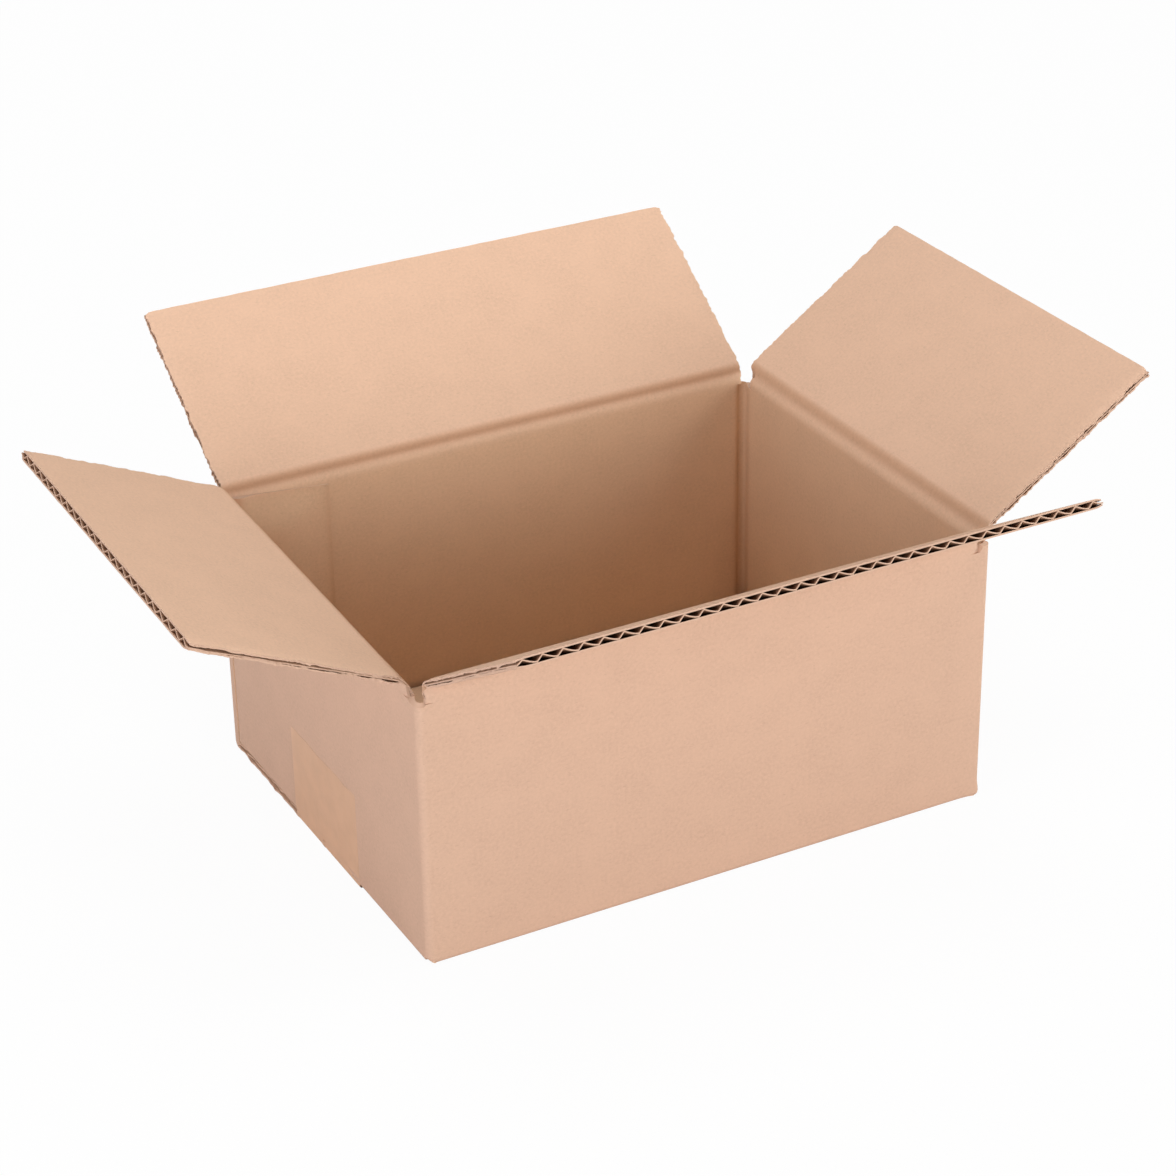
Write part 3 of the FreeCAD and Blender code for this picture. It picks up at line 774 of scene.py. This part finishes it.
def make_flap(shape, middle_of_wall):
    sizes = bpy.context.scene.box_sizes
    bm = new_flat_mesh()
    steps = flap_steps(shape.root, sizes.reach)
    board = Board(shape.span, steps, medium_steps(sizes.reach), shape.flutes, float(len(shape.side)))
    board.faces = shape.faces
    board.pinches = shape.pinches
    board.closed_until = -1.5 * MM
    board.origin = (middle_of_wall, shape.axis.z)
    board.add_to(bm)
    for vert in bm.verts:
        vert.co = fold_flap(shape, vert.co)
    flap = finish_mesh(bm, f"{shape.side}_top_flap", BOARD_MATERIALS)
    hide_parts(f"{shape.side}_flap")
    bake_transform(flap)
    return flap


# Walls: one strip from the raw end of the back wall round to the glued tab
def wall_runs():
    """The straight runs of the strip, each as its outer and inner ends, in the order of the strip."""
    sizes = bpy.context.scene.box_sizes
    board, far, near = sizes.board, sizes.fold_radius, sizes.inner_radius
    x_out, y_out = HALF_LENGTH, HALF_WIDTH
    x_in, y_in = x_out - board, y_out - board
    tab_y, tab_x = y_in, -x_out + TAB_LENGTH
    tab_in = tab_y - board
    raw_x = -x_out + RAW_END_GAP
    return [
        ((raw_x, y_out), (x_out - far, y_out), (raw_x, y_in), (x_in - near, y_in)),
        ((x_out, y_out - far), (x_out, -y_out + far), (x_in, y_in - near), (x_in, -y_in + near)),
        ((x_out - far, -y_out), (-x_out + far, -y_out), (x_in - near, -y_in), (-x_in + near, -y_in)),
        ((-x_out, -y_out + far), (-x_out, tab_y - far), (-x_in, -y_in + near), (-x_in, tab_in - near)),
        ((-x_out + far, tab_y), (tab_x, tab_y), (-x_in + near, tab_in), (tab_x, tab_in)),
    ]


def strip_columns():
    """Columns of the wall strip, as (run, share, fold share): a fold follows each run but the last."""
    columns = []
    for run, count in enumerate(RUN_COLUMNS):
        for share in even_steps(0.0, 1.0, count):
            columns.append((run, (1.0 - math.cos(math.pi * share)) / 2.0, 0.0))
        if RUN_NAMES[run] != "tab":
            columns += [(run, 1.0, fold / FOLD_COLUMNS) for fold in range(1, FOLD_COLUMNS)]
    return columns


def strip_point(runs, column, depth_share):
    """A point of the folded strip in plan. depth_share is 0 on the outer face and 1 on the inner one."""
    run, share, fold = column
    outer_start, outer_end, inner_start, inner_end = [Vector(point) for point in runs[run]]
    if fold == 0.0:
        outer = outer_start.lerp(outer_end, share)
        inner = inner_start.lerp(inner_end, share)
        return outer.lerp(inner, depth_share)
    next_outer, next_inner = Vector(runs[run + 1][0]), Vector(runs[run + 1][2])
    return fold_arc(outer_end, next_outer, fold).lerp(fold_arc(inner_end, next_inner, fold), depth_share)


def fold_arc(start, end, share):
    """A quarter turn from one point to another, clockwise seen from above."""
    radius = abs((end - start).x)
    middle = Vector((end.x, start.y))
    if not is_middle(start, end, middle):
        middle = Vector((start.x, end.y))
    angle_start = math.atan2(start.y - middle.y, start.x - middle.x)
    angle = angle_start - share * math.pi / 2.0
    return middle + Vector((math.cos(angle), math.sin(angle))) * radius


def is_middle(start, end, middle):
    """Whether the clockwise quarter turn about middle leads from start to end."""
    offset = start - middle
    turned = Vector((offset.y, -offset.x))
    return (middle + turned - end).length < 0.01 * MM


def strip_heights(column, depth_share):
    """Lowest and highest point of the strip at a column, on the outer face (0) to the inner one (1)."""
    run, share, fold = column
    if fold > 0.0:
        low = mix(foot_height(run, 1.0), foot_height(run + 1, 0.0), ease(fold))
        if RUN_NAMES[run] == "left":
            return low, mix(wall_top(), tab_top(0.0), ease(fold))
        return low, mix(SLOT_FLOORS[run][0], SLOT_FLOORS[run][1], depth_share)
    if RUN_NAMES[run] == "tab":
        return mix(TAB_FEET[0], TAB_FEET[1], share), tab_top(share)
    high = wall_top()
    for corner, distance, end in ((run - 1, share, 1), (run, 1.0 - share, 0)):
        if 0 <= corner < 3:
            weight = ease((SLOT_WIDTHS[corner][end] - distance * run_length(run)) / (0.6 * MM))
            high = mix(high, mix(SLOT_FLOORS[corner][0], SLOT_FLOORS[corner][1], depth_share), weight)
    return foot_height(run, share), high


def wall_top():
    return bpy.context.scene.box_sizes.slot_floor


def tab_top(share):
    return mix(TAB_TOPS[0], TAB_TOPS[1], share)


def foot_height(run, share):
    """The short walls stand on the outer bottom flaps, but the left one covers the front flap's end."""
    name = RUN_NAMES[run]
    if name == "left":
        return mix(LEFT_FRONT_FOOT, WALL_FOOT, ease((share - 0.36) / 0.04))
    return {"right": WALL_FOOT, "tab": TAB_FEET[0]}.get(name, 0.0)


@functools.lru_cache(maxsize=None)
def run_length(run):
    outer_start, outer_end = (Vector(point) for point in wall_runs()[run][:2])
    return (outer_end - outer_start).length


def wall_rows():
    """Shares of a wall's height that get a row of points: close together at the foot and at the top."""
    foot = [0.0, 0.15, 0.4, 0.8, 1.3, 1.8, 2.4, 3.2]
    top = [89.5, 90.8, 91.8, 92.6, 93.4]
    return [row / top[-1] for row in foot + even_steps(4.4, 88.0, 20) + top]


def make_walls():
    sizes = bpy.context.scene.box_sizes
    runs = wall_runs()
    columns = strip_columns()
    rows = wall_rows()
    bm = new_flat_mesh()
    verts = set(flat_grid(bm, len(columns) - 1, len(rows) - 1))
    for vert in verts:
        column = round(vert.co.x * (len(columns) - 1))
        vert.co = Vector((column * MM, step_place(rows, vert.co.y), sizes.board))
    # The walls' rims, with the slot floors and the tab's top edge, get the dark paper of painted shade
    faces = thicken(bm, verts, sizes.board, INSIDE, OUTSIDE, SHADED_EDGES)
    paint_tab_edge(faces, columns)
    write_strip_uv(bm, faces, columns, column_lengths(runs, columns))
    for vert in bm.verts:
        column = columns[round(vert.co.x / MM)]
        vert.co = place_on_walls(runs, column, vert.co.y, vert.co.z / sizes.board)
    return bm


def paint_tab_edge(faces, columns):
    """The far part of the tab's top edge is pressed flat, so the facing shows on it. The near part keeps
    the painted shade of the dark line along it.
    """
    for face in faces:
        middle = face.calc_center_median()
        run, share, fold = columns[min(round(middle.x / MM), len(columns) - 1)]
        is_top = face.material_index == SHADED_EDGES and middle.y > 0.999
        if is_top and RUN_NAMES[run] == "tab" and share > 0.55:
            face.material_index = INSIDE


def write_strip_uv(bm, faces, columns, lengths):
    layer = bm.loops.layers.uv["blank"]
    for face in faces:
        side = 1.0 if face.material_index == INSIDE else 0.0
        for loop in face.loops:
            index = round(loop.vert.co.x / MM)
            low, high = strip_heights(columns[index], 0.0)
            depth = loop.vert.co.z if face.material_index == SHADED_EDGES else 0.0
            loop[layer].uv = (lengths[index] + depth * 0.7, side + mix(low, high, loop.vert.co.y) + depth)


def column_lengths(runs, columns):
    """Distance along the strip of each column, on its outer face."""
    lengths = [0.0]
    points = [strip_point(runs, column, 0.0) for column in columns]
    for before, after in zip(points, points[1:]):
        lengths.append(lengths[-1] + (after - before).length)
    return lengths


def inner_groove(column):
    """How far an upright crease presses the inner face out."""
    run, share, fold = column
    length = run_length(run)
    if RUN_NAMES[run] == "tab":
        return GROOVE_DEPTH * bell(share * length, GROOVE_ON_TAB)
    groove = GROOVE_DEPTH * bell((1.0 - share) * length, GROOVE_BEFORE)
    if RUN_NAMES[run] != "back":
        groove += GROOVE_DEPTH * bell(share * length, GROOVE_AFTER)
    return groove


def tab_crush(column, height):
    """Thickness that is left of the glued tab: it thins slowly towards its edges."""
    run, share, fold = column
    if RUN_NAMES[run] != "tab":
        return 1.0
    from_end = 1.0 - (1.0 - share) * run_length(run) / (20.0 * MM)
    from_top = 1.0 - (tab_top(share) - height) / (16.0 * MM)
    lip = 0.12 * bell((1.0 - share) * run_length(run), 0.8 * MM)
    return 1.0 - 0.82 * max(ease(from_end), ease(from_top) * ease(share * 3.0)) + lip


def place_on_walls(runs, column, row, depth_share):
    sizes = bpy.context.scene.box_sizes
    run, share, fold = column
    low, high = strip_heights(column, depth_share)
    height = mix(low, high, row)
    left = (1.0 - inner_groove(column) / sizes.board) * tab_crush(column, height)
    depth = depth_share * left
    if RUN_NAMES[run] == "tab":
        depth = mix(0.007, 1.0, depth)
    if depth_share < 0.5 and RUN_NAMES[run] != "tab":
        depth = foot_rounding(column, height - low) / sizes.board
    point = strip_point(runs, column, depth) + bottom_flare(column, height)
    return Vector((point.x, point.y, height))


def foot_rounding(column, height):
    """How far the outer face has turned in at a height above the foot of a wall."""
    radius = bpy.context.scene.box_sizes.fold_radius
    if RUN_NAMES[column[0]] == "left":
        radius *= 0.35
    rest = max(0.0, radius - height)
    return radius - math.sqrt(max(0.0, radius**2 - rest**2))


def bottom_flare(column, height):
    """The front right corner of the box spreads where it stands."""
    run, share, fold = column
    if RUN_NAMES[run] == "right":
        away = (1.0 - share) * run_length(run)
    elif RUN_NAMES[run] == "front":
        away = share * run_length(run)
    else:
        return Vector((0.0, 0.0))
    return Vector((1.5, -0.4)) * MM * bell(away, 3.0 * MM) * bell(height, 3.2 * MM)


# Bottom flaps
def add_flat_board(bm, origin, across, along, board):
    """Adds a flat board to a bmesh, with its outer face through origin."""
    part = new_flat_mesh()
    board.add_to(part)
    through = Vector(across).cross(Vector(along))
    turn = Matrix((Vector(across), Vector(along), through)).transposed().to_4x4()
    bmesh.ops.transform(part, matrix=Matrix.Translation(Vector(origin)) @ turn, verts=part.verts)
    for vert in part.verts:
        if abs(vert.co.y) < TAPE_HIGH.y + 2.2 * MM:
            vert.co.z = max(vert.co.z, FILM_ROOM)
    join_part(bm, part)


def bottom_board(low, high, steps, seed):
    pitch = bpy.context.scene.box_sizes.pitch
    board = Board(lambda along: (low, high), steps, steps[::4], (high, pitch), seed)
    board.pinches = (0.25 * MM, 0.25 * MM)
    # The bottom flaps' cut edges get the dark paper of painted shade
    board.cut = SHADED_EDGES
    board.middle_columns = 26
    board.origin = (2.0 + seed, 0.0)
    return board


def add_bottom_flaps(bm):
    sizes = bpy.context.scene.box_sizes
    root = HALF_WIDTH - sizes.fold_radius
    short_root = HALF_LENGTH - sizes.fold_radius
    upper_layer = sizes.board + LAYER_GAP
    for sign in (-1.0, 1.0):
        steps = even_steps(-root, -SEAM_GAP, 32)
        left_end = -HALF_LENGTH + (FRONT_LEFT_END_GAP if sign < 0.0 else LONG_END_GAP)
        board = bottom_board(left_end, HALF_LENGTH - LONG_END_GAP, steps, 4.0 + sign)
        add_flat_board(bm, (0.0, 0.0, 0.0), (-sign, 0.0, 0.0), (0.0, -sign, 0.0), board)
        steps = even_steps(-short_root, -(HALF_LENGTH - SEAM_GAP - SHORT_REACH), 32)
        board = bottom_board(-HALF_WIDTH + SHORT_END_GAP, HALF_WIDTH - SHORT_END_GAP, steps, 8.0 + sign)
        add_flat_board(bm, (0.0, 0.0, upper_layer), (0.0, sign, 0.0), (-sign, 0.0, 0.0), board)


# Closing tape
def tape_path():
    """The line of the film from the right end's top, under the box, to the left end's top."""
    wall = HALF_LENGTH + 0.02 * MM
    half = [(wall, height) for height in even_steps(TAPE_HIGH.z, 5.4 * MM, 12)]
    half += [(wall - 0.08 * MM, 4.0 * MM), (wall - 0.25 * MM, 2.8 * MM), (wall - 0.25 * MM, 0.5 * MM)]
    half += [(wall - 0.6 * MM, FILM)]
    return half + [(-x, z) for x, z in reversed(half)]


def make_tape_mesh():
    """A film that runs up the left end, under the seam and up the right end."""
    path = tape_path()
    columns = 168
    last_row = len(path) - 1
    bm = new_flat_mesh()
    verts = set(flat_grid(bm, columns, last_row))
    distances = path_lengths(path)
    for vert in verts:
        row = round(vert.co.y * last_row)
        across = mix(TAPE_SIDES[0], TAPE_SIDES[1], vert.co.x)
        torn = 0.0
        if row in (0, last_row):
            tooth = round(vert.co.x * columns) % 4 - 1.5
            torn = 0.12 * MM * tooth + jitter(across / (6.0 * MM), 0.4 * MM, row)
        vert.co = Vector((across, distances[row] + (torn if row else -torn), 0.0))
    faces = thicken(bm, verts, FILM, 0, 0, 0)
    for vert in set(bm.verts) - verts:
        if is_on_outline(vert):
            vert.co.z = -0.02 * MM
    write_blank_uv(faces, bm.loops.layers.uv["blank"], (4.0, 0.0))
    for vert in bm.verts:
        vert.co = place_on_path(path, distances, vert.co)
    return bm


def is_on_outline(vert):
    """Whether the faces turn sharply at a point, as they do along the sides of the film."""
    inner_edges = [edge for edge in vert.link_edges if len(edge.link_faces) == 2]
    return any(edge.calc_face_angle(0.0) > 1.0 for edge in inner_edges)


def path_lengths(path):
    lengths = [0.0]
    for (x_one, z_one), (x_two, z_two) in zip(path, path[1:]):
        lengths.append(lengths[-1] + math.hypot(x_two - x_one, z_two - z_one))
    return lengths


def place_on_path(path, distances, place):
    """Wraps a point of the flat film round the path. Its depth lies outside the path."""
    across, distance, depth = place
    index = max(i for i, length in enumerate(distances[:-1]) if length <= max(distance, 0.0) + 1e-9)
    start, end = Vector(path[index]), Vector(path[index + 1])
    heading = (end - start).normalized()
    outward = Vector((-heading.y, heading.x))
    point = start + heading * (distance - distances[index]) - outward * depth
    return Vector((point.x, across, point.y))


class BOX_OT_walls(Operator):
    """Make the walls, the glued tab and the closed bottom flaps as one folded sheet"""

    bl_idname = "box.walls"
    bl_label = "Walls and Bottom"

    def execute(self, context):
        bm = make_walls()
        add_bottom_flaps(bm)
        walls = finish_mesh(bm, "carton_walls", BOARD_MATERIALS)
        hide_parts("box_body")
        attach(walls, "carton")
        return {"FINISHED"}


class BOX_OT_flaps(Operator):
    """Make the four open top flaps with their flutes and creases"""

    bl_idname = "box.flaps"
    bl_label = "Top Flaps"

    def execute(self, context):
        runs = wall_runs()
        columns = strip_columns()
        lengths = column_lengths(runs, columns)
        # Changes of the lean in degrees, then insets of the cut sides at the hinge and the free edge
        back = FlapShape("back", (0, -1, 0), (-0.2, 0.5), (1.4, 3.0), (1.9, 1.0))
        right = FlapShape("right", (-1, 0, 0), (-0.2, 0.2), (4.6, 3.0), (3.0, 4.0))
        right.shifts = (0.0, 0.4 * MM)
        right.root_insets = (3.3 * MM, 0.0)
        front = FlapShape("front", (0, 1, 0), (-0.3, 0.0), (4.7, 3.2), (4.6, 2.9))
        front.shifts = (-0.4 * MM, 0.0)
        front.lifts = (0.4 * MM, 0.3 * MM)
        front.pinches = (0.7 * MM, 0.45 * MM)
        front.flutes = (100.45 * MM, 6.445 * MM)
        left = FlapShape("left", (1, 0, 0), (-0.6, 0.7), (6.6, 3.7), (3.0, 5.4))
        left.shifts = (1.2 * MM, -1.6 * MM)
        left.lifts = (-0.4 * MM, 0.6 * MM)
        left.flutes = (69.84 * MM, 6.29 * MM)
        for shape in (back, right, front, left):
            make_flap(shape, middle_of_run(columns, lengths, shape.side))
        return {"FINISHED"}


def middle_of_run(columns, lengths, side):
    """Distance along the strip of the middle of a wall's straight run."""
    straight = (RUN_NAMES.index(side), 0.0)
    ends = [length for (run, share, fold), length in zip(columns, lengths) if (run, fold) == straight]
    return (ends[0] + ends[-1]) / 2.0


class BOX_OT_tape(Operator):
    """Make the strip of tape that closes the bottom"""

    bl_idname = "box.tape"
    bl_label = "Closing Tape"

    def execute(self, context):
        tape = finish_mesh(make_tape_mesh(), "closing_tape", ("tape",))
        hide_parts("bottom_tape")
        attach(tape, "carton")
        return {"FINISHED"}


# Stage
def add_lamps(stage):
    middle = Vector((0.0, 0.0, 70.0 * MM))
    for name, azimuth, elevation, power in LAMPS:
        away = direction(azimuth, elevation)
        lamp = bpy.data.lights.new(name, "AREA")
        lamp.shape = "DISK"
        lamp.size = stage.lamp_size
        lamp.energy = power * stage.power
        lamp.color = (0.98, 0.98, 1.05) if name == "lamp_left" else (1.0, 1.0, 1.0)
        holder = bpy.data.objects.new(name, lamp)
        holder.location = middle + away * stage.lamp_distance
        holder.rotation_euler = away.to_track_quat("Z", "Y").to_euler()
        holder.visible_camera = False
        bpy.context.scene.collection.objects.link(holder)


def direction(azimuth, elevation):
    """From the box towards a viewer at these angles in degrees. Azimuth 0 is the front."""
    turn, rise = math.radians(azimuth), math.radians(elevation)
    return Vector((math.sin(turn) * math.cos(rise), -math.cos(turn) * math.cos(rise), math.sin(rise)))


def add_camera(stage):
    roll = math.radians(stage.roll)
    back = direction(stage.azimuth, stage.elevation)
    right = (-back).cross(UP).normalized()
    up = right.cross(-back)
    turned_right = right * math.cos(roll) + up * math.sin(roll)
    turned_up = up * math.cos(roll) - right * math.sin(roll)
    camera = bpy.data.cameras.new("camera")
    camera.lens = stage.lens
    camera.sensor_width = 36.0
    holder = bpy.data.objects.new("camera", camera)
    turn = Matrix((turned_right, turned_up, back)).transposed().to_4x4()
    holder.matrix_world = Matrix.Translation(Vector(stage.target) + back * stage.distance) @ turn
    bpy.context.scene.collection.objects.link(holder)
    bpy.context.scene.camera = holder


def make_floor_material():
    """A pale floor that shows as white and still takes the box's shadow."""
    material, nodes, links, shader = new_material("pale_floor")
    shader.inputs["Base Color"].default_value = (0.86, 0.86, 0.86, 1.0)
    shader.inputs["Roughness"].default_value = 0.9
    glow = nodes.new("ShaderNodeEmission")
    glow.inputs["Strength"].default_value = 1.0
    path = nodes.new("ShaderNodeLightPath")
    share = nodes.new("ShaderNodeMath")
    share.operation = "MULTIPLY"
    share.inputs[1].default_value = 0.96
    links.new(path.outputs["Is Camera Ray"], share.inputs[0])
    blend = nodes.new("ShaderNodeMixShader")
    links.new(share.outputs[0], blend.inputs[0])
    links.new(shader.outputs[0], blend.inputs[1])
    links.new(glow.outputs[0], blend.inputs[2])
    links.new(blend.outputs[0], nodes["Material Output"].inputs["Surface"])
    return material


def make_world(strength):
    world = bpy.data.worlds.new("even_sky")
    world.use_nodes = True
    nodes, links = world.node_tree.nodes, world.node_tree.links
    sky = nodes["Background"]
    sky.inputs["Color"].default_value = (1.0, 1.0, 1.0, 1.0)
    path = nodes.new("ShaderNodeLightPath")
    level = nodes.new("ShaderNodeMapRange")
    level.inputs["To Min"].default_value = strength
    level.inputs["To Max"].default_value = 1.0
    links.new(path.outputs["Is Camera Ray"], level.inputs["Value"])
    links.new(level.outputs["Result"], sky.inputs["Strength"])
    bpy.context.scene.world = world


class BOX_OT_stage(Operator):
    """Make the floor, the lamps, the even sky and the camera"""

    bl_idname = "box.stage"
    bl_label = "Stage"

    def execute(self, context):
        stage = context.scene.box_stage
        bm = bmesh.new()
        bmesh.ops.create_grid(bm, x_segments=1, y_segments=1, size=6.0)
        mesh = bpy.data.meshes.new("floor")
        bm.to_mesh(mesh)
        bm.free()
        mesh.materials.append(make_floor_material())
        floor = bpy.data.objects.new("floor", mesh)
        context.scene.collection.objects.link(floor)
        add_lamps(stage)
        make_world(stage.sky)
        add_camera(stage)
        context.scene.view_settings.view_transform = "Standard"
        return {"FINISHED"}


class BOX_PT_panel(Panel):
    """Lists the pieces of the box and its sizes"""

    bl_idname = "BOX_PT_panel"
    bl_label = "Board Box"
    bl_space_type = "VIEW_3D"
    bl_region_type = "UI"
    bl_category = "Board Box"

    def draw(self, context):
        for settings in (context.scene.box_sizes, context.scene.box_colours, context.scene.box_stage):
            column = self.layout.column(align=True)
            for name in settings.__annotations__:
                column.prop(settings, name)
        for operator in OPERATORS:
            self.layout.operator(operator.bl_idname)


OPERATORS = (BOX_OT_stage, BOX_OT_walls, BOX_OT_flaps, BOX_OT_tape)
CLASSES = (BoxSizes, BoxColours, StageSettings) + OPERATORS + (BOX_PT_panel,)


def register():
    for item in CLASSES:
        bpy.utils.register_class(item)
    bpy.types.Scene.box_sizes = PointerProperty(type=BoxSizes)
    bpy.types.Scene.box_colours = PointerProperty(type=BoxColours)
    bpy.types.Scene.box_stage = PointerProperty(type=StageSettings)


def unregister():
    del bpy.types.Scene.box_sizes, bpy.types.Scene.box_colours, bpy.types.Scene.box_stage
    for item in reversed(CLASSES):
        bpy.utils.unregister_class(item)


def main():
    register()
    bpy.ops.box.stage()
    bpy.ops.box.walls()
    bpy.ops.box.flaps()
    bpy.ops.box.tape()


if __name__ == "__main__":
    main()
